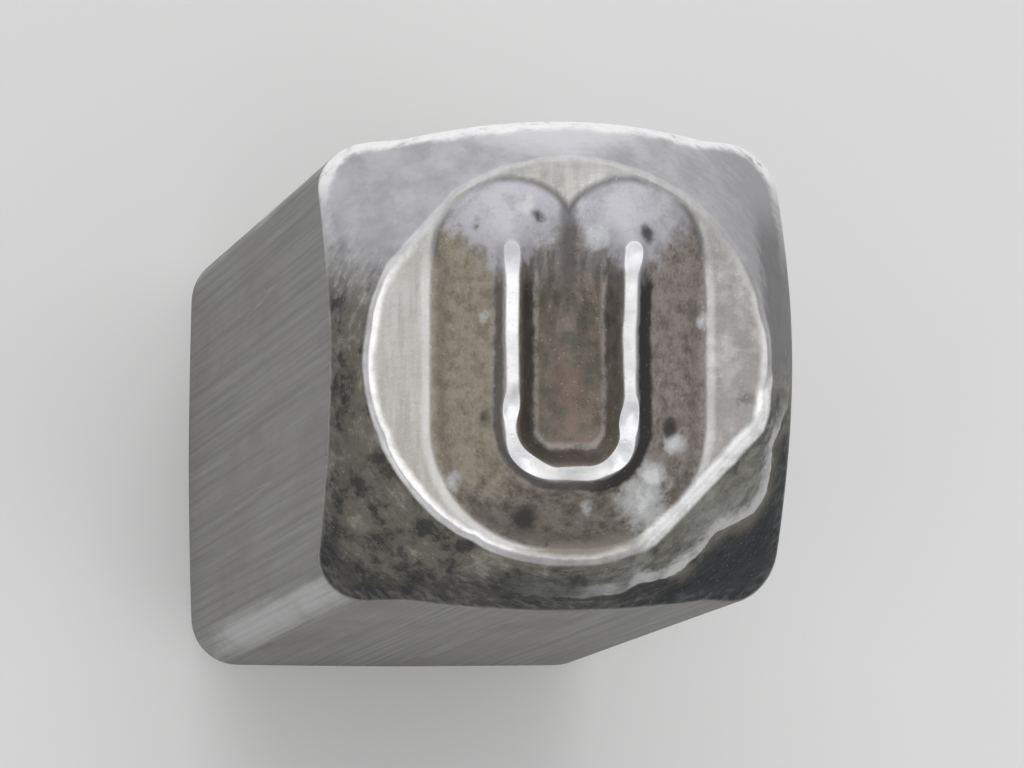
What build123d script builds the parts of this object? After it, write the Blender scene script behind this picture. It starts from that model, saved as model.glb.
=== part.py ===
from build123d import *
import os
from math import radians, sqrt, tan

os.makedirs("parts", exist_ok=True)

# A steel letter punch, one solid piece: a square bar with a turned chamfer at the struck end
# and, at the other end, a turned cone whose round face carries the raised letter U.
# Millimetres. The bar's axis is Z, the struck end's face is at z = 0, and +Y is the letter's top.

# Square bar
overall_length = 65.0        # from the struck face to the crest of the letter
bar_width = 10.0             # across the flats
bar_corner_radius = 1.1

# Letter end: a turned cone that ends in a round flat face
face_diameter = 8.7
cone_half_angle = 18.0       # degrees, measured from the axis
rim_radius = 0.12            # worn edge round the face

# Struck end: a flat face inside a turned chamfer
struck_face_diameter = 8.6
struck_chamfer_angle = 45.0  # degrees, measured from the axis
struck_edge_radius = 0.35

# Pressing the letter in swells the two flats above and below it
swell_rise = 0.3             # how far the middle of the swelling stands proud
swell_depth = 3.2            # from the face down to the middle of the swelling

# Letter: one stroke section follows the centre line of the U
letter_height = 5.0          # over the outer edges of the crest
letter_width = 2.85          # over the outer edges of the crest
letter_relief = 1.4          # from the face up to the crest
crest_width = 0.3            # narrow flat that marks the work
bevel_run = 0.22             # steep band beside the crest, across the stroke
bevel_rise = 0.42            # the same band, in height
flank_run = 1.18             # broad slope from the steep band out to the face
bowl_flat = 0.65             # straight stretch at the bottom of the U
root_depth = 0.6             # how far the strokes are drawn down into the bar

# Places that follow from the sizes
face_height = overall_length - letter_relief
face_radius = face_diameter / 2
struck_radius = struck_face_diameter / 2
flat_half_width = bar_width / 2 - bar_corner_radius
corner_reach = flat_half_width * sqrt(2) + bar_corner_radius
turning_radius = corner_reach + bar_corner_radius
cone_start = face_height - (turning_radius - face_radius) / tan(radians(cone_half_angle))
chamfer_top = (turning_radius - struck_radius) / tan(radians(struck_chamfer_angle))
swell_height = face_height - swell_depth

crest_half = crest_width / 2
bevel_half = crest_half + bevel_run
base_half = bevel_half + flank_run
flank_rise = letter_relief - bevel_rise

stem_x = letter_width / 2 - crest_half
stem_top = letter_height / 2 - crest_half
bowl_radius = stem_x - bowl_flat / 2
bowl_y = bowl_radius - stem_top


def stroke_section(centre_x=0.0):
    """Section across a stroke: x runs across it, y rises from the face to the crest."""
    Polygon(
        (centre_x - base_half, -root_depth),
        (centre_x + base_half, -root_depth),
        (centre_x + base_half, 0),
        (centre_x + bevel_half, flank_rise),
        (centre_x + crest_half, letter_relief),
        (centre_x - crest_half, letter_relief),
        (centre_x - bevel_half, flank_rise),
        (centre_x - base_half, 0),
        align=None,
    )


def keep_one_side():
    """Keep the part of a section on the +x side of its plane's origin, ready to be turned."""
    Rectangle(
        2 * (bowl_radius + base_half),
        2 * (letter_relief + root_depth),
        align=(Align.MIN, Align.CENTER),
        mode=Mode.INTERSECT,
    )


def cone_profile(top):
    """Half outline of the turned shape: chamfer, clearance over the bar's corners, then cone."""
    top_radius = face_radius - (top - face_height) * tan(radians(cone_half_angle))
    Polygon(
        (0, 0),
        (struck_radius, 0),
        (turning_radius, chamfer_top),
        (turning_radius, cone_start),
        (top_radius, top),
        (0, top),
        align=None,
    )


with BuildPart() as letter_relief_form:
    for side in (-1, 1):
        # Stem, from its rounded top down to the bowl
        stem_plane = Plane(
            origin=(side * stem_x, stem_top, face_height), x_dir=(1, 0, 0), z_dir=(0, -1, 0)
        )
        with BuildSketch(stem_plane):
            stroke_section()
        extrude(amount=stem_top - bowl_y)
        with BuildSketch(stem_plane):
            stroke_section()
            keep_one_side()
        revolve(axis=Axis(stem_plane.origin, (0, 0, 1)))

        # Corner of the bowl, a quarter turn about its own centre
        bowl_plane = Plane(
            origin=(side * bowl_flat / 2, bowl_y, face_height),
            x_dir=(side, 0, 0),
            z_dir=(0, -side, 0),
        )
        with BuildSketch(bowl_plane):
            stroke_section(bowl_radius)
            keep_one_side()
        revolve(axis=Axis(bowl_plane.origin, (0, 0, -side)), revolution_arc=90)

    # Straight stretch that joins the two corners
    foot_plane = Plane(
        origin=(-bowl_flat / 2, -stem_top, face_height), x_dir=(0, 1, 0), z_dir=(1, 0, 0)
    )
    with BuildSketch(foot_plane):
        stroke_section()
    extrude(amount=bowl_flat)

    # The cone of the letter end also bounds the letter
    with BuildSketch(Plane.XZ):
        cone_profile(overall_length)
    revolve(axis=Axis.Z, mode=Mode.INTERSECT)


with BuildPart() as letter_punch:
    with BuildSketch():
        RectangleRounded(bar_width, bar_width, bar_corner_radius)
    extrude(amount=face_height)

    # Swelling of the +Y flat as a shallow dome, mirrored to the -Y flat
    with BuildSketch(Plane.XY.offset(swell_height)):
        with BuildLine():
            crown = TangentArc(
                (0, bar_width / 2 + swell_rise), (flat_half_width, bar_width / 2), tangent=(1, 0)
            )
            Polyline(crown @ 1, (flat_half_width, 0), (0, 0), crown @ 0)
        make_face()
    revolve(axis=Axis((0, 0, swell_height), (0, 1, 0)))
    mirror(about=Plane.XZ)

    # Both ends are turned on the bar's axis
    with BuildSketch(Plane.XZ) as turned:
        cone_profile(face_height)
        fillet(turned.vertices().group_by(Axis.Y)[0].sort_by(Axis.X)[-1], struck_edge_radius)
        fillet(turned.vertices().group_by(Axis.Y)[-1].sort_by(Axis.X)[-1], rim_radius)
    revolve(axis=Axis.Z, mode=Mode.INTERSECT)

    add(letter_relief_form.part)

letter_punch.part.label = "letter_punch"
export_step(letter_punch.part, "parts/letter_punch.step")
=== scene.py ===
import bmesh
import bpy
import numpy as np
from mathutils import Matrix, Vector


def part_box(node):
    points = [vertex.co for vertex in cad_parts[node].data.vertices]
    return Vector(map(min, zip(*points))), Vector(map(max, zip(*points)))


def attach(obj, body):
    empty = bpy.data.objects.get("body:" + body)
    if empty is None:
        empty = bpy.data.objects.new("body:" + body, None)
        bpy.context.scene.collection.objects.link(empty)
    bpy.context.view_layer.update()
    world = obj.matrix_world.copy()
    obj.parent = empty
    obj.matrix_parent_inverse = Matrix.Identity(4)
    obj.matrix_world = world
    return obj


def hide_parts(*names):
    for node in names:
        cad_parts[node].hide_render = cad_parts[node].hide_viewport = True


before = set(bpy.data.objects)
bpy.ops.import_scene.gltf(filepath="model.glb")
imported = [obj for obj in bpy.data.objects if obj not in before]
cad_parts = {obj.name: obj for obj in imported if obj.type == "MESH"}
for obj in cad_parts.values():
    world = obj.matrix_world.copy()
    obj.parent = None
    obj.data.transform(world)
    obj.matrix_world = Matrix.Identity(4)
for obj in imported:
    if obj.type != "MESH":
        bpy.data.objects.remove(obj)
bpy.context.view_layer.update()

mm = 0.001  # metres in a millimetre; shapes are worked out in millimetres
farOff = 9.0  # stands for any distance that is out of a measure's reach
tiny = 1e-9  # allows for rounding

barLow, barHigh = (np.array(corner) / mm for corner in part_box("letter_punch"))
barWidth = barHigh[0] - barLow[0]
barLength = barHigh[2] - barLow[2]
swellRise = (barHigh[1] - barLow[1] - barWidth) / 2  # how far the upper and lower flats swell

punch = {
    "cornerRadius": 1.1,
    "faceRadius": 4.35,
    "coneAngle": 18.0,  # degrees from the axis
    "rimRound": 0.12,
    "struckRadius": 4.3,
    "chamferAngle": 45.0,
    "struckRound": 0.35,
    "swellDepth": 3.2,  # from the face down to the middle of the swelling
    "swellPower": 1.3,  # the higher, the more softly the swelling dies out
    "edgeSoftness": 0.1,  # how softly the turned ends meet the flats
    "settleSteps": 12,  # rounds of working out how far down the cone meets the flats
    "rimRows": 6,
    "coneRows": 58,
    "flatRows": 26,
    "flatCrowding": 2.3,  # how closely the rows crowd at both ends of the flats
    "chamferRows": 8,
    "struckRows": 8,
}

letter = {
    "height": 5.0,
    "width": 2.85,
    "relief": 1.4,
    "crestWidth": 0.3,
    "bevelRun": 0.22,
    "bevelRise": 0.42,
    "flankRun": 1.18,
    "bowlFlat": 0.65,
    "innerBevelRun": 0.33,  # the steep band is broader on the inner side of the U
    "innerBevelRise": 0.62,
    "innerTurn": (100, 25),  # degrees round a stem's end, from the outer to the inner side
    "innerSlope": 0.5,  # slope of the inner flank, down to the valley between the stems
    "crestSoftness": 0.1,
    "bandSoftness": 0.07,
    "footSoftness": 0.08,
    "valleyRound": 0.34,  # the valley is rounded by averaging its height over a disc this wide
    "valleyStart": (0.3, 0.75),  # the rounding grows between these distances from the crest
    "discRings": 4,
    "discTurns": 12,
    "rimMargin": 0.12,  # the foot of the flanks dies out this near to the rim
    "footMargin": 0.06,  # the rows of the flank run on past its foot
    "evenSpread": 0.62,  # 1 spaces those rows evenly; less brings them closer on the steep band
    "footRays": 10,
    "cornerRays": 60,
    "stemRays": 76,
    "capRays": 46,
    "flankRows": 46,
    "faceRows": 10,
    "crestRows": 7,
}

faceHeight = barLength - letter["relief"]
coneSlope = np.tan(np.radians(punch["coneAngle"]))
chamferSlope = np.tan(np.radians(punch["chamferAngle"]))
crestHalf = letter["crestWidth"] / 2
stemX = letter["width"] / 2 - crestHalf
stemTop = letter["height"] / 2 - crestHalf
bowlRadius = stemX - letter["bowlFlat"] / 2
bowlY = bowlRadius - stemTop
flankEnd = letter["bevelRun"] + letter["flankRun"]
rimTurn = np.radians(90 - punch["coneAngle"])  # angle between the face and the cone
rimInset = punch["rimRound"] * np.tan(rimTurn / 2)
faceFlat = punch["faceRadius"] - rimInset  # where the face starts to round off


# The higher of two values, joined by a parabola where they differ by less than softness.
def softMax(a, b, softness):
    overlap = np.clip(softness - np.abs(a - b), 0, None) / softness
    return np.maximum(a, b) + overlap * overlap * softness / 4


# The lower of two values, joined in the same way.
def softMin(a, b, softness):
    return -softMax(-a, -b, softness)


# 0 below the first value, 1 above the second, with a smooth S between them.
def smoothStep(low, high, value):
    t = np.clip((value - low) / (high - low), 0, 1)
    return t * t * (3 - 2 * t)


# Random heights on a cubic lattice, blended smoothly between its corners, from -1 to 1.
def latticeNoise(points, size, seed):
    place = points / size
    cell = np.floor(place).astype(np.int64)
    t = place - cell
    t = t * t * (3 - 2 * t)
    total = np.zeros(len(points))
    for corner in range(8):
        step = np.array([corner & 1, corner >> 1 & 1, corner >> 2 & 1])
        x, y, z = ((cell + step) * np.array([73856093, 19349663, 83492791])).T
        mixed = (x ^ y ^ z ^ (seed * 2654435761)) & 0xFFFFFFFF
        mixed = ((mixed ^ (mixed >> 15)) * 2246822519) & 0xFFFFFFFF
        mixed = ((mixed ^ (mixed >> 13)) * 3266489917) & 0xFFFFFFFF
        height = (mixed ^ (mixed >> 16)) / 0xFFFFFFFF * 2 - 1
        total += height * np.prod(np.where(step, t, 1 - t), axis=1)
    return total


# Noise of halving size and strength, added up.
def layeredNoise(points, size, seed, layers=3):
    parts = [latticeNoise(points, size / 2**n, seed + n) / 2**n for n in range(layers)]
    return sum(parts) / sum(1 / 2**n for n in range(layers))


# Distance from the letter's centre line: the nearest of stem, bowl corner and foot.
def strokeDistance(x, y):
    x = np.abs(x)
    cornerX = letter["bowlFlat"] / 2
    stem = np.hypot(x - stemX, y - np.clip(y, bowlY, stemTop))
    foot = np.hypot(x - np.clip(x, 0, cornerX), y + stemTop)
    corner = np.abs(np.hypot(x - cornerX, y - bowlY) - bowlRadius)
    inCorner = (x > cornerX) & (y < bowlY)
    return np.where(inCorner, corner, np.minimum(stem, foot))


# How far a place belongs to the inner side of the U: 1 between the strokes, 0 outside them, and
# a smooth change round the ends of the stems.
def innerShare(x, y):
    x = np.abs(x)
    cornerX = letter["bowlFlat"] / 2
    fromCorner = np.hypot(np.maximum(x - cornerX, 0), y - bowlY)
    inside = np.where(y < bowlY, fromCorner < bowlRadius, x < stemX)
    turn = np.degrees(np.arctan2(y - stemTop, stemX - x))
    return np.where(y > stemTop, smoothStep(*letter["innerTurn"], turn), inside)


# How far out the steep band beside the crest reaches.
def bandRun(share):
    return letter["bevelRun"] + (letter["innerBevelRun"] - letter["bevelRun"]) * share


# Height above the face at a distance outside the crest's edge: the highest of the steep band's
# line, the flank's line and the face, held under the crest.
def ridgeHeight(out, share):
    run = bandRun(share)
    rise = letter["bevelRise"] + (letter["innerBevelRise"] - letter["bevelRise"]) * share
    outerSlope = (letter["relief"] - letter["bevelRise"]) / letter["flankRun"]
    flankSlope = outerSlope + (letter["innerSlope"] - outerSlope) * share
    steep = letter["relief"] - rise / run * out
    flank = letter["relief"] - rise - flankSlope * (out - run)
    slope = softMax(steep, flank, letter["bandSoftness"])
    slope = softMax(slope, np.zeros_like(slope), letter["footSoftness"])
    return softMin(slope, np.full_like(slope, letter["relief"]), letter["crestSoftness"])


# Height of the letter above the face at any place. On the inner side, away from the crest, it is
# the mean height over a small disc, which rounds the valley where two flanks meet. A ring of the
# disc counts as much as it is wide.
def letterHeight(x, y):
    share = innerShare(x, y)
    out = strokeDistance(x, y) - crestHalf
    height = ridgeHeight(out, share)
    width = letter["valleyRound"] * smoothStep(*letter["valleyStart"], out)
    width = width * smoothStep(0.05, 0.3, share)
    rings, turns = letter["discRings"], letter["discTurns"]
    total = 0
    for ring in range(1, rings + 1):
        for turn in np.arange(turns) * 2 * np.pi / turns + ring:
            aside = x + width * ring / rings * np.cos(turn)
            above = y + width * ring / rings * np.sin(turn)
            reach = strokeDistance(aside, above) - crestHalf
            total += ridgeHeight(reach, innerShare(aside, above)) * ring
    mean = total / (turns * rings * (rings + 1) / 2)
    return np.where(width > 0, mean, height)


# Rays that leave the centre line of the letter's right half at right angles, outwards and
# inwards: half the foot, the bowl's corner, the stem, and the fan round the stem's end.
# Each row holds a start x and y, and a direction x and y.
def strokeRays(side):
    cornerX = letter["bowlFlat"] / 2
    fans = []
    x = np.linspace(0, cornerX, letter["footRays"] + 1)
    fans.append((x, 0 * x - stemTop, 0 * x, 0 * x - side))
    turn = np.linspace(-np.pi / 2, 0, letter["cornerRays"] + 1)[1:]
    fans.append((cornerX + bowlRadius * np.cos(turn), bowlY + bowlRadius * np.sin(turn),
                 side * np.cos(turn), side * np.sin(turn)))
    lower = np.linspace(bowlY, bowlY + cornerX, letter["footRays"] + 1)[1:]
    upper = np.linspace(bowlY + cornerX, stemTop, letter["stemRays"] + 1)[1:]
    y = np.concatenate([lower, upper])
    fans.append((0 * y + stemX, y, 0 * y + side, 0 * y))
    notch = np.arctan2(faceFlat - stemTop, stemX)  # turn of the ray that meets the rim at x = 0
    split = round(letter["capRays"] * notch / (np.pi / 2))
    turn = np.concatenate([np.linspace(0, notch, split + 1)[1:],
                           np.linspace(notch, np.pi / 2, letter["capRays"] - split + 1)[1:]])
    fans.append((0 * turn + stemX, 0 * turn + stemTop, side * np.cos(turn), np.sin(turn)))
    return np.concatenate([np.stack(fan, axis=1) for fan in fans])


# How far each ray runs from the centre line: to the flat part of the face's edge, or to the
# valley line between the strokes, whichever comes first.
def rayReach(rays, side):
    x, y, dx, dy = rays.T
    along = x * dx + y * dy
    toRim = -along + np.sqrt(along**2 - (x * x + y * y - faceFlat**2))
    if side > 0:
        return toRim
    cornerX = letter["bowlFlat"] / 2
    toMiddle = np.full(len(x), np.inf)
    np.divide(-x, dx, out=toMiddle, where=dx < -tiny)
    onFoot = (y <= -stemTop + tiny) & (x <= cornerX + tiny)
    toMiddle = np.where(onFoot, bowlRadius + cornerX - x, toMiddle)
    onStem = x >= stemX - tiny
    inCorner = ~onFoot & ~onStem
    toMiddle = np.where(inCorner, bowlRadius, toMiddle)
    lowStem = onStem & (y < bowlY + cornerX)
    toMiddle = np.where(lowStem, bowlRadius + (y - bowlY), toMiddle)
    return np.minimum(toMiddle, toRim)


# One side of the letter's right half with the face beside it. Across: distance out from the
# crest's edge, spread over the flank and then over the flat of the face. Along: the rays.
def flankGrid(side):
    rays = strokeRays(side)
    reach = rayReach(rays, side) - crestHalf
    spread = np.linspace(0, 1, letter["flankRows"] + 1)
    spread = letter["evenSpread"] * spread + (1 - letter["evenSpread"]) * spread**3
    flankReach = np.minimum(reach, flankEnd + letter["footMargin"])
    out = flankReach[:, None] * spread
    rest = np.linspace(0, 1, letter["faceRows"] + 1)[1:]
    out = np.concatenate([out, flankReach[:, None] + (reach - flankReach)[:, None] * rest], axis=1)
    x = rays[:, 0:1] + rays[:, 2:3] * (crestHalf + out)
    y = rays[:, 1:2] + rays[:, 3:4] * (crestHalf + out)
    fade = smoothStep(0, letter["rimMargin"], faceFlat - np.hypot(x, y))
    return np.stack([x, y, faceHeight + letterHeight(x, y) * fade], axis=2)


# The crest between the outer and the inner edge of the stroke, at the same rays.
def crestGrid():
    outer, inner = strokeRays(1), strokeRays(-1)
    across = np.linspace(-1, 1, letter["crestRows"] + 1)
    start = np.where(across[:, None, None] > 0, outer[None, :, 0:2], inner[None, :, 0:2])
    aim = np.where(across[:, None, None] > 0, outer[None, :, 2:4], inner[None, :, 2:4])
    place = start + aim * crestHalf * np.abs(across)[:, None, None]
    height = faceHeight + letterHeight(place[..., 0], place[..., 1])
    return np.concatenate([place, height[..., None]], axis=2).transpose(1, 0, 2)


# Distance from the axis to the bar's side: a square with round corners, and a low swelling
# on the flats above and below the letter, highest at its middle.
def barRadius(turn, z):
    c, s = np.abs(np.cos(turn)), np.abs(np.sin(turn))
    half = barWidth / 2
    flat = half - punch["cornerRadius"]
    along = flat * (c + s)
    corner = along + np.sqrt(np.maximum(along**2 - 2 * flat**2 + punch["cornerRadius"] ** 2, 0))
    onSide, onTop = half / np.maximum(c, tiny), half / np.maximum(s, tiny)
    radius = np.where(onSide * s <= flat, onSide, np.where(onTop * c <= flat, onTop, corner))
    swellHeight = faceHeight - punch["swellDepth"]
    spread = np.hypot(radius * c, z - swellHeight) / flat
    swell = swellRise * np.clip(1 - spread**2, 0, 1) ** punch["swellPower"]
    return radius + np.where(s > c, swell, 0)


# Height at which the cone meets the bar, in a scallop on each flat. The bar's radius changes with
# height, so the height is worked out from it again and again until it settles.
def scallopHeight(turn):
    height = np.full_like(turn, faceHeight - punch["swellDepth"])
    for _ in range(punch["settleSteps"]):
        height = faceHeight - (barRadius(turn, height) - punch["faceRadius"]) / coneSlope
    return height


# The punch below the face, one column at each turn: the rim's arc, the cone down to where it
# meets the bar, the flats, the chamfer, the struck edge's arc, and the struck face to its middle.
def bodyGrid(turn):
    turn = turn[:, None]
    arc = np.linspace(0, rimTurn, punch["rimRows"] + 1)[None, :]
    rimRadius = faceFlat + punch["rimRound"] * np.sin(arc) + 0 * turn
    rimZ = faceHeight - punch["rimRound"] * (1 - np.cos(arc)) + 0 * turn
    scallop = scallopHeight(turn)
    chamferTop = (barRadius(turn, 0) - punch["struckRadius"]) / chamferSlope

    t = np.linspace(0, 1, punch["coneRows"] + 1)[None, 1:]
    coneZ = rimZ[:, -1:] + (scallop - rimZ[:, -1:]) * t
    t = np.linspace(0, 1, punch["flatRows"] + 1)[None, 1:]
    crowding = punch["flatCrowding"]
    t = t**crowding / (t**crowding + (1 - t) ** crowding)
    flatZ = scallop + (chamferTop - scallop) * t
    struckInset = punch["struckRound"] * np.tan(np.radians(punch["chamferAngle"] / 2))
    struckFlat = punch["struckRadius"] - struckInset  # where the struck face rounds off
    arc = np.linspace(np.radians(punch["chamferAngle"]), 0, punch["rimRows"] + 1)[None, :]
    edgeRadius = struckFlat + punch["struckRound"] * np.sin(arc) + 0 * turn
    edgeZ = punch["struckRound"] * (1 - np.cos(arc)) + 0 * turn
    t = np.linspace(0, 1, punch["chamferRows"] + 1)[None, 1:-1]
    chamferZ = chamferTop + (edgeZ[:, :1] - chamferTop) * t

    z = np.concatenate([coneZ, flatZ, chamferZ], axis=1)
    cone = punch["faceRadius"] + (faceHeight - z) * coneSlope
    chamfer = punch["struckRadius"] + z * chamferSlope
    radius = softMin(cone, barRadius(turn, z), punch["edgeSoftness"])
    radius = softMin(radius, chamfer, punch["edgeSoftness"])
    t = np.linspace(1, 0, punch["struckRows"] + 1)[None, 1:]
    radius = np.concatenate([rimRadius, radius, edgeRadius, struckFlat * t + 0 * turn], axis=1)
    z = np.concatenate([rimZ, z, edgeZ, 0 * t + 0 * turn], axis=1)
    return np.stack([radius * np.cos(turn), radius * np.sin(turn), z], axis=2)


# Corner numbers of the four-sided faces of a grid whose first vertex has the given number.
def gridFaces(shape, first):
    number = first + np.arange(shape[0] * shape[1]).reshape(shape[:2])
    corners = [number[:-1, :-1], number[1:, :-1], number[1:, 1:], number[:-1, 1:]]
    return np.stack(corners, axis=2).reshape(-1, 4)


# Joins the grids and their mirror images in x = 0 into one closed mesh in millimetres: vertices
# that share a place become one, and faces with no area go.
def joinGrids(name, grids):
    samePlace, noLength = 1e-5, 1e-6
    vertices, faces, count = [], [], 0
    for mirror in (1, -1):
        for grid in grids:
            faces.append(gridFaces(grid.shape, count))
            vertices.append(grid.reshape(-1, 3) * (mirror, 1, 1))
            count += grid.shape[0] * grid.shape[1]
    mesh = bpy.data.meshes.new(name)
    mesh.from_pydata(np.concatenate(vertices), [], np.concatenate(faces))
    work = bmesh.new()
    work.from_mesh(mesh)
    bmesh.ops.remove_doubles(work, verts=work.verts, dist=samePlace)
    bmesh.ops.dissolve_degenerate(work, edges=work.edges, dist=noLength)
    bmesh.ops.recalc_face_normals(work, faces=work.faces)
    openEdges = sum(1 for edge in work.edges if len(edge.link_faces) != 2)
    print("open edges", openEdges, "faces", len(work.faces))
    work.to_mesh(mesh)
    work.free()
    return mesh


# The mesh's vertices as rows of x, y and z.
def readVertices(mesh):
    values = np.empty(len(mesh.vertices) * 3)
    mesh.vertices.foreach_get("co", values)
    return values.reshape(-1, 3)


wear = {
    "seed": 11,
    # worn flats on the rim: turn in degrees, how far out from the axis they start, slope from the
    # axis in degrees, softness of their edge
    "rimFlats": [(-43.5, 3.92, 31.4, 0.34), (138, 4.2, 24, 0.2)],
    "rimFlatDepth": 4,  # nothing further below the face is worn by them
    # nicks in the rim: turn in degrees, width, depth
    "rimNicks": [(172, 0.3, 0.03), (-158, 0.2, 0.03), (-118, 0.16, 0.04), (-8, 0.16, 0.05),
                 (14, 0.3, 0.04), (38, 0.16, 0.03), (74, 0.2, 0.02), (104, 0.14, 0.02)],
    "rimDepth": 0.3,  # how far from the rim nicks and wobble reach
    "crestEdge": 0.04,  # softness of the edges where the crest is worn
    "kinkFade": (0.7, 0.2),  # its kinks die out between these distances from it
    # worn places on the crest: x, y, size, depth
    "crestSpots": [(1.3, -1.25, 0.3, 0.13), (-1.27, -1.06, 0.26, 0.09), (0.98, -2.02, 0.32, 0.13),
                   (-0.95, -2.1, 0.36, 0.13), (1.3, 2.2, 0.3, 0.08), (0.2, -2.35, 0.4, 0.04),
                   (-1.3, 2.25, 0.3, 0.06)],
    # sideways kinks of the crest: x, y, size, shift
    "crestKinks": [(1.28, 0.4, 1.4, -0.05), (1.3, 2.25, 0.3, 0.08), (1.3, -1.0, 0.14, 0.06),
                   (1.2, -1.45, 0.3, -0.06), (-1.27, -0.92, 0.12, -0.04),
                   (-1.25, -1.3, 0.35, -0.07), (-1.1, -1.8, 0.3, -0.07)],
    # places where the crest sits lower in the picture: x, y, size, shift
    "crestDrops": [(-0.5, -2.3, 0.7, -0.1), (0.5, -2.3, 0.7, -0.1), (-1.05, -1.95, 0.35, -0.07),
                   (1.0, -2.1, 0.3, -0.05)],
    # small dents, and one small rise: x, y, size, depth
    "dents": [(1.66, 2.66, 0.13, 0.1), (-0.62, 3.06, 0.12, 0.06), (2.2, -1.55, 0.16, 0.08),
              (-2.0, 2.95, 0.1, 0.04), (1.8, -2.42, 0.15, -0.05)],
    # scuffed places that show bare metal: x, y, size, strength
    "scuffs": [(2.24, -1.78, 0.26, 0.75), (1.74, -2.5, 0.3, 1.0), (1.6, -3.0, 0.62, 0.72),
               (-1.85, 0.85, 0.16, 0.4), (0.35, -3.15, 0.2, 0.5), (2.9, 0.85, 0.22, 0.5),
               (0.62, 2.6, 0.3, 0.7), (-0.95, 3.35, 0.3, 0.5), (-2.5, -2.55, 0.26, 0.45)],
    # dark stains: x, y, size, strength
    "stains": [(-0.95, -3.4, 0.36, 0.8), (2.16, -1.44, 0.24, 0.85), (1.66, 2.68, 0.25, 0.8),
               (-0.63, 3.08, 0.25, 0.6), (-1.98, 2.9, 0.18, 0.5), (-1.82, -1.25, 0.24, 0.6),
               (1.95, -3.1, 0.16, 0.4), (3.75, -0.8, 0.26, 0.5)],
    # dull places on the crest: x, y, size, strength
    "dulled": [(-1.25, 2.3, 0.42, 0.65), (1.39, 1.85, 0.24, 0.5), (-1.23, -0.68, 0.16, 0.3),
               (0.0, -2.4, 0.55, 0.4), (1.3, 0.9, 0.7, 0.16), (1.3, -0.1, 0.7, 0.16)],
    # unevenness from noise: how much, and the size of its features
    "crestLoss": (0.02, 0.45),
    "crestWobble": (0.022, 0.5),
    "faceGrain": (0.012, 0.55),
    "flankGrain": 0.022,  # its features are as large as the face's
    "rimFlatGrain": (0.03, 0.7),
    "rimWobble": (0.02, 0.9),
    "shoulderGrain": (0.014, 0.6),
    "scaleGrain": (0.085, 0.7),  # the scale on the lower shoulders
    "barGrain": (0.012, 1.6),
    "crustRagged": (0.16, 0.6),  # the line that the crust ends on
    "spotRagged": (0.09, 0.3),  # outlines of scuffs, stains and dull places
    "scaleStart": (0.35, -0.4),  # from no scale to all of it, by the sine of the turn
    "scaleTilt": 0.26,  # it starts higher on the left
    "crust": 0.07,  # thickness of the scale below the worn flat of the rim
    "crustTurn": -57,  # degrees round to its middle
    "crustSpan": (50, 40),  # it dies out between these angles from its middle
    "crustThin": (-38, -2),  # it is thin before the first of these and full past the second
    "crustLeast": 0.12,  # how much of it there is where it is thin
    "crustEdge": 0.16,  # half the width of its sloping end
    "crustRadius": 5.05,  # it ends on a ragged line round the cone, this far from the axis
    # where the line bulges: turn in degrees, width in degrees, how far
    "crustBulges": [(-35, 6, 0.18), (-47, 4, -0.16), (-20, 6, -0.2), (-62, 5, 0.08),
                    (-70, 3, -0.08)],
}


# Turn from a given direction, in degrees, between -180 and 180.
def turnFrom(turn, direction):
    return (np.degrees(turn) - direction + 180) % 360 - 180


# A round hill about a place: 1 at its top, falling off as a bell curve over its size.
def hill(x, y, middleX, middleY, size):
    return np.exp(-((x - middleX) ** 2 + (y - middleY) ** 2) / size**2)


# Distance past the line across the face where a worn flat of the rim starts.
def pastFlat(x, y, direction, distance):
    aim = np.radians(direction)
    return x * np.cos(aim) + y * np.sin(aim) - distance


# What the wear and the material need to know at each vertex of the unworn shape. A reach is in
# millimetres, except the band's, and a side is a share from 0 to 1.
def measurePlaces(points):
    x, y, z = points.T
    radius, turn = np.hypot(x, y), np.arctan2(y, x)
    hair = 1e-4  # keeps the face's own border on the face
    onFace = (radius < faceFlat + hair) & (z > faceHeight - hair)
    crestReach = np.where(onFace, strokeDistance(x, y) - crestHalf, farOff)
    share = innerShare(x, y) * onFace
    downCone = (faceHeight - z) / np.cos(np.radians(punch["coneAngle"]))
    coneReach = np.where(onFace, radius - punch["faceRadius"], downCone)
    beyond = radius - wear["crustRadius"]
    for direction, width, bulge in wear["crustBulges"]:
        beyond -= bulge * np.exp(-((turnFrom(turn, direction) / width) ** 2))
    ragged, size = wear["crustRagged"]
    beyond += ragged * layeredNoise(points * (1, 1, 0.3), size, wear["seed"] + 90, layers=4)
    fromCrust = turnFrom(turn, wear["crustTurn"])
    beside = smoothStep(*wear["crustSpan"], np.abs(fromCrust))
    least = wear["crustLeast"]
    beside *= least + (1 - least) * smoothStep(*wear["crustThin"], fromCrust)
    scaleSide = np.sin(turn) + wear["scaleTilt"] * np.cos(turn)
    return {
        "onFace": onFace,
        "crestReach": crestReach,  # out from the crest's edge
        "bandReach": crestReach / bandRun(share),  # 0 at the crest's edge, 1 at the band's foot
        "innerSide": share,  # towards the inner side of the U
        "coneReach": coneReach,  # out from the rim and down the cone, or back over the face
        "edgeReach": np.clip(scallopHeight(turn) - z, -farOff, farOff),  # below the cone's edge
        "lowerSide": smoothStep(*wear["scaleStart"], scaleSide),  # round to the scaly shoulders
        "crustReach": beyond / np.sin(np.radians(punch["coneAngle"])),  # past the crust's end
        "crustSide": beside,  # round to where the crust lies
    }


# Distance out from the rim as it is worn: the cone's own or that of a worn flat, the larger.
def rimReach(points, place):
    reach = place["coneReach"]
    for direction, distance, slope, _ in wear["rimFlats"]:
        out = pastFlat(points[:, 0], points[:, 1], direction, distance)
        reach = np.maximum(reach, np.where(out > 0, out / np.sin(np.radians(slope)), out))
    return reach


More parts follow.
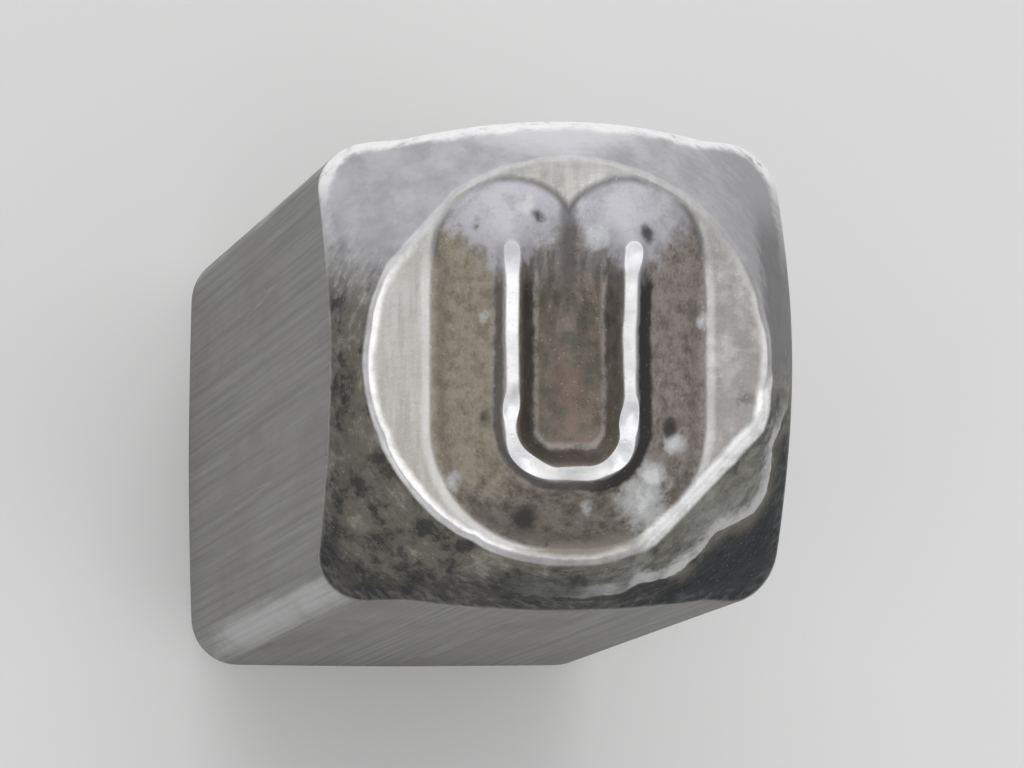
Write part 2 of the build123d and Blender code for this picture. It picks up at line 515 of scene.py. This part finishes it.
# The worn shape, and how much the crest lost at each vertex. Each step moves the vertices as
# whole arrays: worn spots and kinks of the crest, grain and dents of the face and flanks, sloping
# flats on the rim, nicks and wobble of the rim, grain and scale on the cone, grain on the bar.
def wearPunch(points, place):
    x, y, z = points.T.copy()
    turn = np.arctan2(y, x)
    onFace, crestReach, seed = place["onFace"], place["crestReach"], wear["seed"]
    nearCrest = smoothStep(*wear["kinkFade"], crestReach)

    top = faceHeight + letter["relief"] + 0 * x
    for spotX, spotY, size, depth in wear["crestSpots"]:
        top -= depth * hill(x, y, spotX, spotY, size)
    loss, size = wear["crestLoss"]
    top -= nearCrest * loss * (1 + layeredNoise(points, size, seed))
    wornAway = np.where(onFace, z - softMin(z, top, wear["crestEdge"]), 0)
    z = z - wornAway
    for kinkX, kinkY, size, shift in wear["crestKinks"]:
        x += nearCrest * shift * hill(points[:, 0], y, kinkX, kinkY, size)
    for dropX, dropY, size, shift in wear["crestDrops"]:
        y += nearCrest * shift * hill(points[:, 0], y, dropX, dropY, size)
    wobble, size = wear["crestWobble"]
    x += nearCrest * wobble * latticeNoise(points, size, seed + 20)
    y += nearCrest * wobble * latticeNoise(points, size, seed + 30)

    flank = smoothStep(0.05, 0.3, crestReach) * smoothStep(1.5, 1.3, crestReach)
    faceGrain, size = wear["faceGrain"]
    grain = faceGrain + (wear["flankGrain"] - faceGrain) * flank
    away = smoothStep(0.0, 0.25, crestReach) * smoothStep(0.0, -0.1, place["coneReach"])
    z += onFace * away * grain * layeredNoise(points, size, seed + 40)
    for dentX, dentY, size, depth in wear["dents"]:
        z -= onFace * depth * hill(x, y, dentX, dentY, size)

    grain, size = wear["rimFlatGrain"]
    for direction, distance, slope, softness in wear["rimFlats"]:
        out = pastFlat(x, y, direction, distance)
        out += grain * layeredNoise(points, size, seed + 50)
        flat = faceHeight - out / np.tan(np.radians(slope))
        z = np.where(z > faceHeight - wear["rimFlatDepth"], softMin(z, flat, softness), z)

    wobble, size = wear["rimWobble"]
    radial = -wobble * (1 + layeredNoise(points, size, seed + 60)) / 2
    for direction, width, depth in wear["rimNicks"]:
        along = turnFrom(turn, direction) * np.radians(1) * punch["faceRadius"]
        radial -= depth * np.exp(-((along / width) ** 2))
    radial *= np.exp(-((np.abs(place["coneReach"]) / wear["rimDepth"]) ** 2))

    onCone = ~onFace * smoothStep(0.25, -0.35, place["edgeReach"])
    onCone = onCone * smoothStep(0.1, 0.6, place["coneReach"])
    grain, size = wear["shoulderGrain"]
    relief = grain * (layeredNoise(points, size, seed + 70) - 1) / 2
    grain, size = wear["scaleGrain"]
    scale = layeredNoise(points * (1, 1, 0.4), size, seed + 80, layers=4)
    scale = np.clip(scale, -1, 0.35) - 0.35  # flat on top, with pits
    relief += place["lowerSide"] * grain * scale
    crust = smoothStep(wear["crustEdge"], -wear["crustEdge"], place["crustReach"])
    crust = crust * place["crustSide"]
    radial += onCone * (relief + wear["crust"] * crust)
    flats = ~onFace * smoothStep(0.2, 1.5, place["edgeReach"]) * smoothStep(0.2, 1.2, z)
    grain, size = wear["barGrain"]
    radial += flats * grain * (layeredNoise(points * (1, 1, 0.25), size, seed + 100) - 1) / 2

    radius = np.maximum(np.hypot(x, y), tiny)
    x, y = x * (1 + radial / radius), y * (1 + radial / radius)
    worn = np.stack([x, y, z], axis=1)
    return np.clip(worn, barLow, barHigh), wornAway


# How strongly each place of the face belongs to a list of spots, from 0 to 1: a hill about each
# spot, measured from a place that strays a little, so that its outline is ragged.
def spotting(points, place, spots):
    total = np.zeros(len(points))
    ragged, size = wear["spotRagged"]
    x = points[:, 0] + ragged * layeredNoise(points, size, wear["seed"] + 110)
    y = points[:, 1] + ragged * layeredNoise(points, size, wear["seed"] + 120)
    for spotX, spotY, size, strength in spots:
        total = np.maximum(total, strength * hill(x, y, spotX, spotY, size))
    return total * place["onFace"]


# Gives the material one number at each vertex.
def setAttribute(mesh, name, values):
    attribute = mesh.attributes.new(name, "FLOAT", "POINT")
    attribute.data.foreach_set("value", values.astype(np.float32))


# The whole punch as one mesh: the letter's grids, and below them the body, whose columns stand
# where the letter's rays meet the rim. The places are measured first and then worn.
def buildPunch():
    outer, inner = flankGrid(1), flankGrid(-1)
    rimEnds = np.concatenate([outer[:, -1], inner[::-1, -1][1:]])
    # the inner rays that end in the valley don't count
    rimEnds = rimEnds[np.hypot(rimEnds[:, 0], rimEnds[:, 1]) > faceFlat - 1e-6]
    body = bodyGrid(np.arctan2(rimEnds[:, 1], rimEnds[:, 0]))
    mesh = joinGrids("letterPunch", [outer, inner, crestGrid(), body])
    points = readVertices(mesh)
    place = measurePlaces(points)
    worn, wornAway = wearPunch(points, place)
    for name in ("crestReach", "bandReach", "innerSide", "edgeReach", "crustReach", "crustSide"):
        setAttribute(mesh, name, place[name])
    setAttribute(mesh, "rimReach", rimReach(worn, place))
    setAttribute(mesh, "wornAway", wornAway)
    for name in ("scuffs", "stains", "dulled"):
        setAttribute(mesh, name, spotting(points, place, wear[name]))
    mesh.vertices.foreach_set("co", (worn * mm).ravel())
    mesh.polygons.foreach_set("use_smooth", np.ones(len(mesh.polygons), dtype=bool))
    piece = bpy.data.objects.new("letterPunch", mesh)
    bpy.context.scene.collection.objects.link(piece)
    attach(piece, "root")
    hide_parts("letter_punch")
    return piece


# A shader socket. An expression on sockets adds the Math nodes that work it out, and node()
# adds any other node: its type, its settings, and the values or sockets that feed its inputs.
class Wire:
    def __init__(self, tree, socket=None):
        self.tree = tree
        self.socket = socket

    def node(self, kind, settings, inputs, output=0):
        node = self.tree.nodes.new(kind)
        for name, value in settings.items():
            setattr(node, name, value)
        for name, value in inputs.items():
            if isinstance(value, Wire):
                self.tree.links.new(value.socket, node.inputs[name])
            else:
                node.inputs[name].default_value = value
        return Wire(self.tree, node.outputs[output] if node.outputs else None)

    def math(self, operation, a, b=0.0):
        return self.node("ShaderNodeMath", {"operation": operation}, {0: a, 1: b})

    def __add__(self, other):
        return self.math("ADD", self, other)

    def __sub__(self, other):
        return self.math("SUBTRACT", self, other)

    def __rsub__(self, other):
        return self.math("SUBTRACT", other, self)

    def __mul__(self, other):
        return self.math("MULTIPLY", self, other)

    __radd__ = __add__
    __rmul__ = __mul__

    def __abs__(self):
        return self.math("ABSOLUTE", self)

    def most(self, other):
        return self.math("MAXIMUM", self, other)

    # 0 at low, 1 at high, with a smooth S between them; low may be the larger one
    def step(self, low, high):
        ends = {"Value": self, "From Min": min(low, high), "From Max": max(low, high),
                "To Min": float(low > high), "To Max": float(low < high)}
        return self.node("ShaderNodeMapRange", {"interpolation_type": "SMOOTHSTEP"}, ends)

    # colour a where this mask is 0, colour b where it is 1
    def mix(self, a, b):
        colours = [value if isinstance(value, Wire) else (*value, 1) for value in (a, b)]
        return self.node("ShaderNodeMix", {"data_type": "RGBA"},
                         {0: self, 6: colours[0], 7: colours[1]}, output=2)

    # one coordinate of this position
    def part(self, axis):
        return self.node("ShaderNodeSeparateXYZ", {}, {0: self}, output=axis)

    # this position times a factor on each axis: above 1 makes patterns closer, below 1 longer
    def stretched(self, factors):
        return self.node("ShaderNodeVectorMath", {"operation": "MULTIPLY"}, {0: self, 1: factors})

    # noise with features of the given size, at this position
    def noise(self, size, detail=3.0, roughness=0.55):
        return self.node("ShaderNodeTexNoise", {}, {
            "Vector": self, "Scale": 1 / size, "Detail": detail, "Roughness": roughness})

    # pits or grains: distance to the nearest of scattered points, in parts of their spacing
    def cells(self, size):
        return self.node("ShaderNodeTexVoronoi", {}, {"Vector": self, "Scale": 1 / size})

    # a number that the mesh holds at each vertex
    def attribute(self, name):
        return self.node("ShaderNodeAttribute", {"attribute_name": name}, {}, output=2)


steel = {
    # colours, as linear values
    "clean": (0.48, 0.475, 0.46),
    "dull": (0.36, 0.355, 0.34),
    "dim": (0.285, 0.272, 0.263),  # the right strip of the face
    "cool": (0.49, 0.48, 0.51),  # the bare tops of the stems
    "coolDull": (0.37, 0.362, 0.38),
    "shoulderCool": (0.585, 0.575, 0.605),
    "shoulderDull": (0.43, 0.425, 0.44),
    # the next three: painted highlight at the shoulder's top, painted shade at its right and sides
    "shoulderHighlight": (0.74, 0.73, 0.76),
    "shoulderRightShade": (0.37, 0.366, 0.38),
    "shoulderSideShade": (0.15, 0.148, 0.152),
    "oliveLight": (0.35, 0.32, 0.255),
    "oliveDark": (0.215, 0.193, 0.146),
    "brownLight": (0.315, 0.28, 0.258),
    "brownDark": (0.168, 0.146, 0.13),
    "footLight": (0.245, 0.225, 0.192),
    "footDark": (0.12, 0.102, 0.086),
    "valley": (0.255, 0.215, 0.18),
    "valleyDeep": (0.155, 0.145, 0.12),
    "rust": (0.23, 0.165, 0.14),
    "scale": (0.045, 0.044, 0.04),
    "scaleMid": (0.16, 0.15, 0.12),
    "scaleLight": (0.30, 0.285, 0.25),
    # painted shade along the lower shoulder's edges
    "shoulderDeepShade": (0.022, 0.024, 0.026),
    "crust": (0.34, 0.347, 0.33),
    "bright": (0.82, 0.82, 0.83),
    # worn metal on the rim's worn flat, and painted highlight on the cone's upper edge
    "paleWearAndHighlight": (0.95, 0.95, 0.94),
    "scuffed": (0.60, 0.605, 0.605),
    # painted shade on the steep band, in the crease along the letter's top and in the cusp; also
    # dark stains and wisps
    "shadeAndDirt": (0.05, 0.047, 0.046),
    "barLight": (0.20, 0.197, 0.19),
    "barDark": (0.10, 0.098, 0.093),
    "barFilm": (0.085, 0.074, 0.062),
    "turnedLight": (0.33, 0.326, 0.315),
    "turnedDark": (0.20, 0.197, 0.19),
    # sizes of the patterns, in millimetres
    "wide": 2.4,
    "patches": 0.8,
    "mottle": 0.3,
    "grain": 0.08,
    "specks": 0.15,
    "clots": 0.75,
    "blotches": 3.0,
    # factors that draw patterns out
    "alongBar": (7.0, 7.0, 0.018),
    "alongScores": (0.9, 0.9, 0.006),
    "alongBlotches": (1.0, 1.0, 0.12),
    "downSides": (1.0, 1.0, 0.22),
    "acrossFace": (7.0, 0.8, 1.0),
    "alongValley": (5.0, 0.9, 1.0),
    # relief of the patterns, in millimetres of bump
    "grainRelief": 0.01,
    "mottleRelief": 0.014,
    "filmRelief": 0.02,
    "pitRelief": 0.012,
    "ringRelief": 0.006,
    "scaleRelief": 0.03,
    "clotRelief": 0.1,
    "drawnRelief": 0.012,
    "tooledRelief": 0.008,
    "roughness": 0.47,
    "gloss": 0.1,
}


# One material for the whole punch. Each region has a mask from the coordinates and the measured
# places, and a colour from patterns of noise. Wander shifts the regions' borders unevenly.
def steelMaterial():
    material = bpy.data.materials.new("toolSteel")
    material.use_nodes = True
    tree = material.node_tree
    tree.nodes.clear()
    wires = Wire(tree)
    place = wires.node("ShaderNodeTexCoord", {}, {}, output=3).stretched((1 / mm, 1 / mm, 1 / mm))
    x, y, z = (place.part(axis) for axis in range(3))
    crestReach = wires.attribute("crestReach")
    rimReach = wires.attribute("rimReach")
    edgeReach = wires.attribute("edgeReach")
    innerSide = wires.attribute("innerSide")
    crustReach = wires.attribute("crustReach")
    crustSide = wires.attribute("crustSide")
    scuffs = wires.attribute("scuffs")
    stains = wires.attribute("stains")

    wide = place.noise(steel["wide"], 2.0)
    patches = place.noise(steel["patches"], 4.0, 0.6)
    mottle = place.noise(steel["mottle"], 5.0, 0.62)
    grain = place.noise(steel["grain"], 4.0, 0.6)
    specks = place.cells(steel["specks"])
    clots = place.stretched(steel["downSides"]).noise(steel["clots"], 5.0, 0.65)
    blotches = place.stretched(steel["alongBlotches"]).noise(steel["blotches"], 5.0, 0.65)
    lengthwise = place.stretched(steel["alongBar"]).noise(1.0, 5.0, 0.65)
    cloud = patches * 0.5 + mottle * 0.5
    wander = mottle - 0.5
    right = x.step(0.0, 1.0)
    bandReach = wires.attribute("bandReach") + wander * 0.6

    onFace = rimReach.step(0.1, -0.05)
    footReach = crestReach - 0.1 * y.step(2.8, 1.4)  # the foot lies further out below the ends
    footprint = footReach.step(1.46, 1.36) * onFace
    fromStem = abs(abs(x) - stemX)
    stemEnds = (y - 1.58 - fromStem * 0.9 + wander * 1.1).step(-0.25, 0.45) * footprint
    onBar = edgeReach.step(-0.1, 0.25)
    onShoulder = rimReach.step(0.0, 0.2) * (1 - onBar)
    lower = (y + x * 0.26 + wander * 1.4).step(1.8, -0.2)

    # the flat of the face: brushed up and down, with a thin film and a dimmer strip on the right
    streaks = place.stretched(steel["acrossFace"]).noise(1.0, 3.0)
    colour = (wide * 0.3 + mottle * 0.35 + streaks * 0.35).step(0.38, 0.6)
    colour = colour.mix(steel["dull"], steel["clean"])
    faceFilm = cloud.step(0.42, 0.62) * onFace * 0.3
    colour = faceFilm.mix(colour, steel["oliveLight"])
    dim = (patches * 0.6 + mottle * 0.4).step(0.36, 0.58) * x.step(2.55, 2.85) * 0.95
    colour = dim.mix(colour, steel["dim"])

    # the flanks: olive on the left, brown grey on the right, painted shade below and along the
    # foot, lighter at the top as bare metal and painted light
    speckle = (mottle * 0.7 + grain * 0.3).step(0.34, 0.6)
    oliveSide = speckle.mix(steel["oliveDark"], steel["oliveLight"])
    brownSide = speckle.mix(steel["brownDark"], steel["brownLight"])
    foot = speckle.mix(steel["footDark"], steel["footLight"])
    flank = (x + wander * 2.0).step(-0.8, 1.0).mix(oliveSide, brownSide)
    # darker at the bottom of the letter, where the flank faces away from the light: painted shade
    flank = (y - x * 0.1 + wander * 1.4).step(-2.2, -3.1).mix(flank, foot)
    flank = (crestReach.step(0.35, 0.1) * 0.55).mix(flank, steel["coolDull"])
    # the stems' ends face the light; their lighter colour is bare metal made paler still as
    # painted light
    bare = (cloud * 0.85 + grain * 0.15 - fromStem * 0.06).step(0.34, 0.52)
    bare = bare.mix(steel["coolDull"], steel["cool"])
    # a darker line near the flank's foot: painted shade in the crease
    footCreaseShade = footReach.step(1.02, 1.18) * footReach.step(1.4, 1.24) * y.step(2.8, 1.6)
    flank = (footCreaseShade * (0.45 - 0.2 * right)).mix(flank, steel["brownDark"])
    flank = stemEnds.mix(flank, bare)
    colour = footprint.mix(colour, flank)

    # between the strokes: a brown floor with rust low down, a paler ledge at the steep band's
    # foot, dark wisps, and painted shade in the cusp between the stems
    floor = cloud.step(0.4, 0.6).mix(steel["valleyDeep"], steel["valley"])
    rustPlace = (abs(x) * 1.6 + wander).step(1.0, 0.2) * y.step(0.5, -0.6)
    floor = (rustPlace * cloud.step(0.4, 0.52) * 0.7).mix(floor, steel["rust"])
    floor = (y.step(1.3, 2.3) * 0.35).mix(floor, steel["coolDull"])
    between = innerSide * footprint * (1 - stemEnds)
    colour = between.mix(colour, floor)
    ledge = bandReach.step(0.95, 1.12) * bandReach.step(1.5, 1.25) * between
    colour = (ledge * 0.42 * mottle.step(0.3, 0.6)).mix(colour, steel["clean"])
    wisps = place.stretched(steel["alongValley"]).noise(1.0, 2.0).step(0.44, 0.58)
    # cusp: painted shade where the inner flanks meet below the stems' ends
    cusp = abs(x + wander * 0.3).step(0.3, 0.06) * y.step(0.9, 2.1) * footprint
    cusp = cusp.most(wisps * between * y.step(-0.2, 1.4) * 0.6)
    colour = (cusp * 0.6).mix(colour, steel["shadeAndDirt"])

    # the shoulder: bare above, scale below, with painted highlight and painted shade on it, and a
    # crust under the worn flat of the rim
    above = clots.step(0.3, 0.64).mix(steel["shoulderDull"], steel["shoulderCool"])
    # painted shade on the right and left of the upper shoulder, which turn away from the light
    above = ((x + wander * 2.0).step(2.0, 4.4) * 0.95).mix(above, steel["shoulderRightShade"])
    rightSideShade = (x + wander * 0.4).step(4.05, 4.42) * (y + wander).step(4.0, 2.4)
    leftSideShade = (x + wander * 0.4).step(-4.4, -4.85) * (y + wander).step(4.0, 2.2)
    above = (rightSideShade * 0.9).most(leftSideShade * 0.62).mix(above, steel["shoulderSideShade"])
    # painted highlight along the top of the shoulder, which faces the light
    shoulderCrownHighlight = (y - abs(x) * 0.3 + wander * 0.6).step(4.0, 4.75)
    above = shoulderCrownHighlight.mix(above, steel["shoulderHighlight"])
    below = (clots * 0.8 + mottle * 0.2).step(0.4, 0.52).mix(steel["scale"], steel["scaleMid"])
    below = (clots * 0.7 + mottle * 0.3).step(0.53, 0.64).mix(below, steel["scaleLight"])
    # dark: painted shade along the lower and left edges and past the crust at the lower right
    outside = crustReach.step(0.0, 1.4) * (x - y).step(5.5, 6.6)
    dark = outside.most((y + wander * 0.6).step(-4.35, -4.75) * 0.72)
    dark = dark.most(x.step(-4.2, -4.9) * 0.3).most((x + y + wander * 0.6).step(-8.0, -8.8) * 0.7)
    below = dark.mix(below, steel["shoulderDeepShade"])
    # the lower shoulder is darker partly as scale and partly as painted shade
    shoulder = lower.mix(above, below)
    across = x * 0.76 - y * 0.65
    flow = wires.node("ShaderNodeCombineXYZ", {}, {0: across * 2.6, 1: (x + y) * 0.5, 2: z * 0.5})
    flow = (flow.noise(1.0, 5.0, 0.65) * 0.6 + mottle * 0.4).step(0.42, 0.6)
    crust = crustReach.step(0.1, -0.1) * crustSide * onShoulder
    crustTone = crust * (0.25 + 0.75 * flow) * (0.5 + 0.5 * crustReach.step(-3.0, -0.4))
    shoulder = crustTone.mix(shoulder, steel["crust"])
    colour = onShoulder.mix(colour, shoulder)

    # the bar: drawn lengthwise, dark as oxide and partly as painted shade, with a few light scores
    # and a thin brown film in places
    bar = (lengthwise * 0.8 + blotches * 0.2).step(0.36, 0.63)
    bar = bar.mix(steel["barDark"], steel["barLight"])
    scores = abs(place.stretched(steel["alongScores"]).noise(1.0, 2.0) - 0.5).step(0.01, 0.0)
    bar = (scores * blotches.step(0.5, 0.6) * 0.4).mix(bar, steel["turnedLight"])
    barFilm = (blotches * 0.7 + lengthwise * 0.3).step(0.45, 0.7) * onBar
    bar = (barFilm * 0.4).mix(bar, steel["barFilm"])
    colour = onBar.mix(colour, bar)

    # the struck end: turned, with fine rings
    level = place.stretched((1.0, 1.0, 0.0))
    fromAxis = wires.node("ShaderNodeVectorMath", {"operation": "LENGTH"}, {0: level}, output=1)
    struck = (fromAxis - z).step(4.16, 4.26).most(z.step(0.4, 0.2))
    tooled = wires.node("ShaderNodeCombineXYZ", {}, {0: fromAxis * 9.0}).noise(1.0, 3.0, 0.6)
    ends = (tooled * 0.7 + mottle * 0.3).step(0.4, 0.6)
    ends = ends.mix(steel["turnedDark"], steel["turnedLight"])
    colour = struck.mix(colour, ends)

    # scuffs; painted shade on the steep band and along the letter's upper border; and stains
    widened = 0.5 * right * (1 - innerSide)  # the band is broader right of the letter
    # steep: painted shade on the steep band beside the crest
    steep = bandReach.step(0.05, 0.4) * (bandReach - widened).step(1.25, 0.8)
    steep = steep * (0.66 + 0.02 * innerSide + right * (0.34 - 0.76 * innerSide))
    steep = steep * (y + wander * 0.6).step(2.1, 1.45) * onFace
    # border: painted shade in the crease along the letter's upper border
    border = footReach.step(1.26, 1.4) * footReach.step(1.56, 1.43) * onFace * y.step(1.6, 2.6)
    scuffed = (scuffs + wander * 0.8).step(0.15, 0.55) * scuffs.step(0.05, 0.25)
    colour = (scuffed * 0.8).mix(colour, steel["scuffed"])
    stained = (stains + wander * 0.9).step(0.25, 0.75) * stains.step(0.05, 0.3) * 0.85
    shadeAndStains = steep.most(border * 0.45).most(stained)
    colour = shadeAndStains.mix(colour, steel["shadeAndDirt"])

    # the worn flat at the lower right, and the dull strip of the face below the letter
    onFlat = (x * 0.725 - y * 0.688).step(3.2, 3.55) * (x * 0.688 + y * 0.725).step(-2.0, -1.45)
    nearFoot = (x * 0.139 - y * 0.99 + wander * 0.3).step(3.76, 4.0) * (1 - onFlat)
    colour = (nearFoot * onFace * 0.9).mix(colour, steel["footLight"])

    # bright worn metal: crest, rim, outer edges, crust's edge, scuffs and single grains; the
    # cone's upper edge and the bar's corners are partly painted highlight
    crestWear = crestReach.step(0.01, -0.05).most(wires.attribute("wornAway").step(0.011, 0.03))
    crestWear = crestWear * (0.86 + 0.14 * patches.step(0.35, 0.55))
    crestWear = crestWear * (1 - wires.attribute("dulled"))
    rimPlace = rimReach + (patches - 0.5) * 0.25
    rimWear = rimPlace.step(-0.26, -0.1) * (rimPlace - onFlat * 0.16).step(0.28, 0.08)
    rimSide = 0.78 + 0.1 * y.step(-1.0, -2.6) - 0.5 * y.step(0.2, 2.6) * x.step(-4.5, -2.0)
    rimSide = rimSide - 0.3 * x.step(3.6, 4.1) * y.step(-1.2, -0.3)
    rimSide = onFlat.most(rimSide * 0.95) * (0.72 + 0.28 * mottle.step(0.38, 0.56))
    rimSide = rimSide * (1 - 0.55 * nearFoot)
    edgePlace = edgeReach + wander * 0.4
    edgeWearAndHighlight = (edgePlace + (clots - 0.5) * 1.1).step(-1.0, -0.4) * edgePlace.step(0.4, 0.05)
    edgeWearAndHighlight = edgeWearAndHighlight * mottle.step(0.25, 0.45)
    # a painted highlight on the cone's upper edge, strongest at the top, which faces the light
    edgeHighlightSide = 0.25 * y.step(1.6, 3.0) + 0.65 * y.step(3.4, 4.5)
    edgeWearAndHighlight = edgeWearAndHighlight * (0.07 * mottle.step(0.45, 0.6) + edgeHighlightSide)
    outlineWear = footReach.step(1.42, 1.5) * footReach.step(1.7, 1.56) * onFace
    outlineWear = outlineWear * y.step(2.6, 1.6) * 0.25 * (1 - nearFoot)
    crustEdge = (crustReach + wander * 1.2).step(-1.1, -0.4) * crustReach.step(0.2, -0.1) * crust
    # a light stripe down the bar's corners: wear and painted highlight
    cornerWearAndHighlight = (abs(x) + abs(y) + blotches * 0.3 + lengthwise * 0.3).step(9.44, 9.7) * onBar
    cornerWearAndHighlight = cornerWearAndHighlight * (0.1 + 0.25 * blotches.step(0.42, 0.6))
    grains = specks.step(0.28, 0.1) * mottle.step(0.44, 0.58)
    scuff = (scuffs + wander * 1.3).step(0.5, 1.0) * scuffs.step(0.4, 0.7)
    bright = crestWear.most(rimWear * rimSide).most(edgeWearAndHighlight).most(outlineWear).most(scuff)
    bright = bright.most(crustEdge * 0.5 * (0.4 + 0.6 * clots.step(0.34, 0.54))).most(cornerWearAndHighlight)
    bright = bright.most(grains * (0.16 * onShoulder * lower).most(0.12 * onFace))
    # pale: worn metal on the rim's worn flat, and painted highlight on the cone's upper edge
    pale = (onFlat * rimWear).most(edgeWearAndHighlight * y.step(2.6, 4.0))
    colour = bright.mix(colour, pale.mix(steel["bright"], steel["paleWearAndHighlight"]))

    # bare steel is smoother and more metallic than film, painted shade, stains, scale or the drawn
    # bar
    film = (footprint * (1 - stemEnds)).most(between).most(onShoulder * lower).most(barFilm * 0.7)
    film = film.most(shadeAndStains)
    metallic = (1 - 0.55 * film.most(stemEnds).most(onBar)).most(bright)
    metallic = metallic * (1 - 0.85 * dark * onShoulder * lower) * (1 - 0.6 * pale)
    upperRim = abs(rimReach).step(0.25, 0.1) * y.step(1.2, 3.0)
    metallic = metallic * (1 - 0.5 * upperRim)
    roughness = steel["roughness"] + 0.14 * film.most(stemEnds) - 0.12 * bright + 0.2 * upperRim
    roughness = roughness + 0.2 * wander * (1 - onBar)

    # relief: grain, pits in the film, turning rings and scale on the cone, lines along the bar
    rings = wires.node("ShaderNodeCombineXYZ", {}, {0: rimReach * 14.0, 1: y * 0.3})
    rings = rings.noise(1.0, 2.0)
    relief = (grain * steel["grainRelief"] + mottle * steel["mottleRelief"]) * (1 - onBar)
    pits = specks.step(0.3, 0.0) * steel["pitRelief"]
    relief = relief + film * (mottle * steel["filmRelief"] - pits) * (1 - onBar)
    scale = mottle * steel["scaleRelief"] + clots * steel["clotRelief"]
    relief = relief + onShoulder * (rings * steel["ringRelief"] + lower * scale)
    lines = lengthwise * steel["drawnRelief"] + barFilm * 0.004
    relief = relief + onBar * (1 - struck) * lines
    relief = relief + struck * tooled * steel["tooledRelief"]
    relief = relief * (1 - 0.6 * bright)
    bump = wires.node("ShaderNodeBump", {}, {"Strength": 1.0, "Distance": mm, "Height": relief})
    shader = wires.node("ShaderNodeBsdfPrincipled", {}, {
        "Base Color": colour, "Metallic": metallic, "Roughness": roughness, "Normal": bump,
        "Specular IOR Level": steel["gloss"]})
    wires.node("ShaderNodeOutputMaterial", {}, {"Surface": shader})
    return material


studio = {
    "floorHalf": 3.2,  # half its side, in metres
    "floorColour": (0.80, 0.795, 0.785),
    "floorRoughness": 0.9,
    "floorGloss": 0.2,
    "ground": (1.0, 1.0, 1.0),
    "sky": (0.54, 0.545, 0.555),
    "horizon": (-0.01, 0.12),  # the ground's light turns into the sky's between these heights
    # lamps: name, direction from the head, distance, size, radiance, colour
    "lamps": [
        ("overhead", (0.0, 0.1, 1.0), 0.9, 0.7, 1.45, (1.0, 0.99, 0.97)),
        ("key", (-0.1, 1.0, 0.5), 0.8, 0.85, 1.75, (0.97, 0.98, 1.0)),
        ("fill", (-1.0, -0.5, 0.45), 0.9, 0.4, 1.0, (1.0, 0.99, 0.97)),
        ("lipLight", (0.75, -0.7, 0.85), 0.8, 0.4, 0.9, (1.0, 1.0, 0.99)),
    ],
}

view = {
    "sideways": 3.95,  # degrees that the camera stands off the punch's axis, towards -X
    "below": 2.3,  # and towards -Y
    "distance": 0.425,
    "lens": 700,
    "aim": (-0.0012, -0.0005),  # what is at the middle of the picture, at the face's height
    "sensor": 36,
    "clip": (0.01, 10),
}


# A pale floor, a world that is white below the horizon and grey above it, and round lamps that
# face the head. A lamp's power is its radiance times pi times its area.
def buildStudio():
    half = studio["floorHalf"]
    mesh = bpy.data.meshes.new("floor")
    corners = [(-half, -half, 0), (half, -half, 0), (half, half, 0), (-half, half, 0)]
    mesh.from_pydata(corners, [], [(0, 1, 2, 3)])
    floor = bpy.data.objects.new("floor", mesh)
    bpy.context.scene.collection.objects.link(floor)
    material = bpy.data.materials.new("paleFloor")
    material.use_nodes = True
    surface = material.node_tree.nodes["Principled BSDF"]
    surface.inputs["Base Color"].default_value = (*studio["floorColour"], 1)
    surface.inputs["Roughness"].default_value = studio["floorRoughness"]
    surface.inputs["Specular IOR Level"].default_value = studio["floorGloss"]
    mesh.materials.append(material)

    world = bpy.data.worlds.new("studio")
    bpy.context.scene.world = world
    world.use_nodes = True
    tree = world.node_tree
    tree.nodes.clear()
    wires = Wire(tree)
    height = wires.node("ShaderNodeTexCoord", {}, {}, output=0).part(2)
    colour = height.step(*studio["horizon"]).mix(studio["ground"], studio["sky"])
    background = wires.node("ShaderNodeBackground", {}, {"Color": colour, "Strength": 1.0})
    wires.node("ShaderNodeOutputWorld", {}, {"Surface": background})

    head = Vector((0, 0, barLength * mm))
    for name, direction, distance, size, radiance, colour in studio["lamps"]:
        lamp = bpy.data.lights.new(name, "AREA")
        lamp.shape = "DISK"
        lamp.size = size
        lamp.energy = radiance * np.pi * np.pi * size**2 / 4
        lamp.color = colour
        place = bpy.data.objects.new(name, lamp)
        place.location = head + Vector(direction).normalized() * distance
        place.rotation_euler = Vector(direction).to_track_quat("Z", "Y").to_euler()
        place.visible_camera = False
        bpy.context.scene.collection.objects.link(place)


# The camera stands off the axis by the two angles and looks at the aim, with Y upwards.
def placeCamera():
    camera = bpy.data.cameras.new("camera")
    camera.lens = view["lens"]
    camera.sensor_width = view["sensor"]
    camera.clip_start, camera.clip_end = view["clip"]
    piece = bpy.data.objects.new("camera", camera)
    face = Vector((0, 0, faceHeight * mm))
    stand = Vector((-np.tan(np.radians(view["sideways"])), -np.tan(np.radians(view["below"])), 1))
    piece.location = face + stand * view["distance"]
    back = (piece.location - face - Vector((*view["aim"], 0))).normalized()
    right = Vector((0, 1, 0)).cross(back).normalized()
    up = back.cross(right)
    piece.rotation_euler = Matrix((right, up, back)).transposed().to_euler()
    bpy.context.scene.collection.objects.link(piece)
    bpy.context.scene.camera = piece


punchPiece = buildPunch()
print("punch built:", len(punchPiece.data.vertices), "vertices")
punchPiece.data.materials.append(steelMaterial())
print("tool steel made")
buildStudio()
placeCamera()
print("studio and camera placed")

bpy.context.scene.view_settings.view_transform = "Standard"
